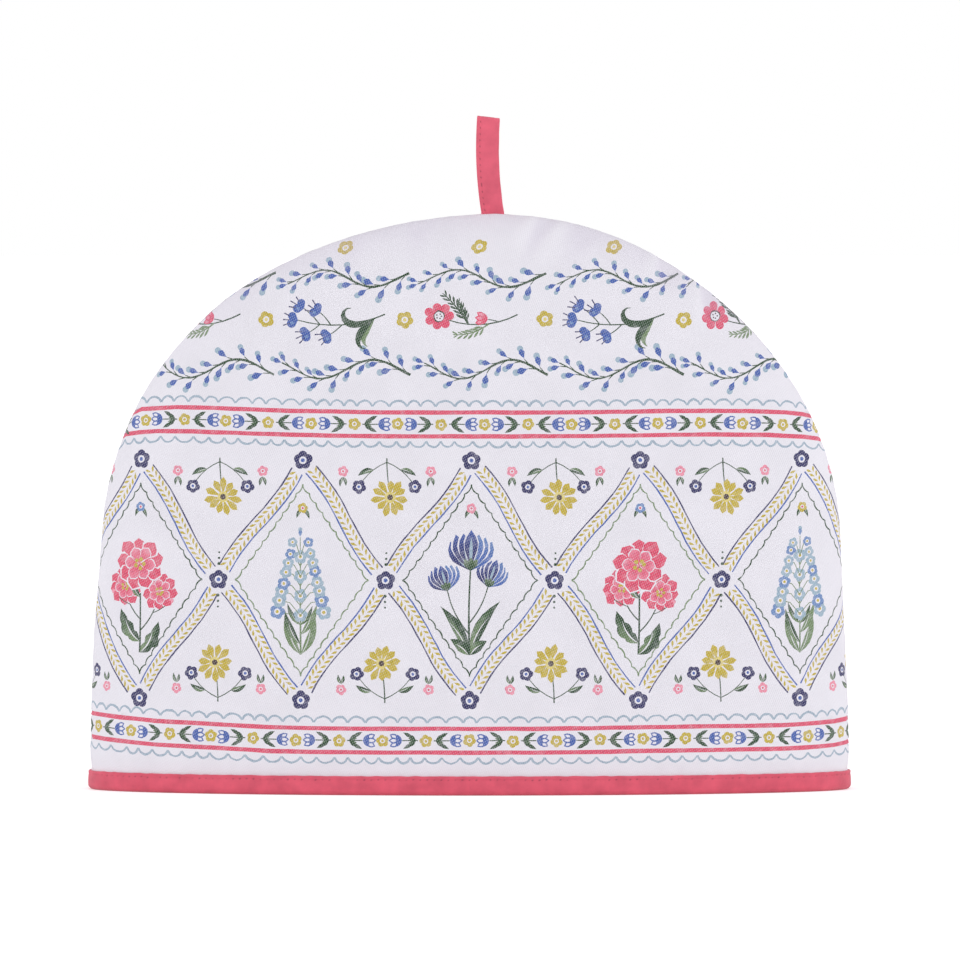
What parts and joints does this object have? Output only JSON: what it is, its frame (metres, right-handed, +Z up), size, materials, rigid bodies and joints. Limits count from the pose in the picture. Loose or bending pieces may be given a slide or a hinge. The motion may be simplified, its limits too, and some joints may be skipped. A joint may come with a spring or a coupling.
{
  "type": "padded tea cosy",
  "caption": "Domed padded cotton cosy, open at its bound hem, with a folded tape loop at the top of its curved seam.",
  "frame": {"origin": "middle of the mouth, on the surface that the hem stands on", "axes": "+X to the right along the cosy's width as seen from the front, +Y to the back, +Z up"},
  "size_m": [0.35, 0.105, 0.3089],
  "materials": {
    "panel_cotton": "matt cotton twill, printed",
    "binding_cotton": "matt plain-weave cotton, dyed coral pink",
    "loop_tape": "matt plain-weave cotton tape, dyed coral pink"
  },
  "bodies": {
    "root": {"front_panel": "panel_cotton", "back_panel": "panel_cotton", "hem_binding": "binding_cotton", "hanging_loop": "loop_tape"}
  },
  "joints": []
}
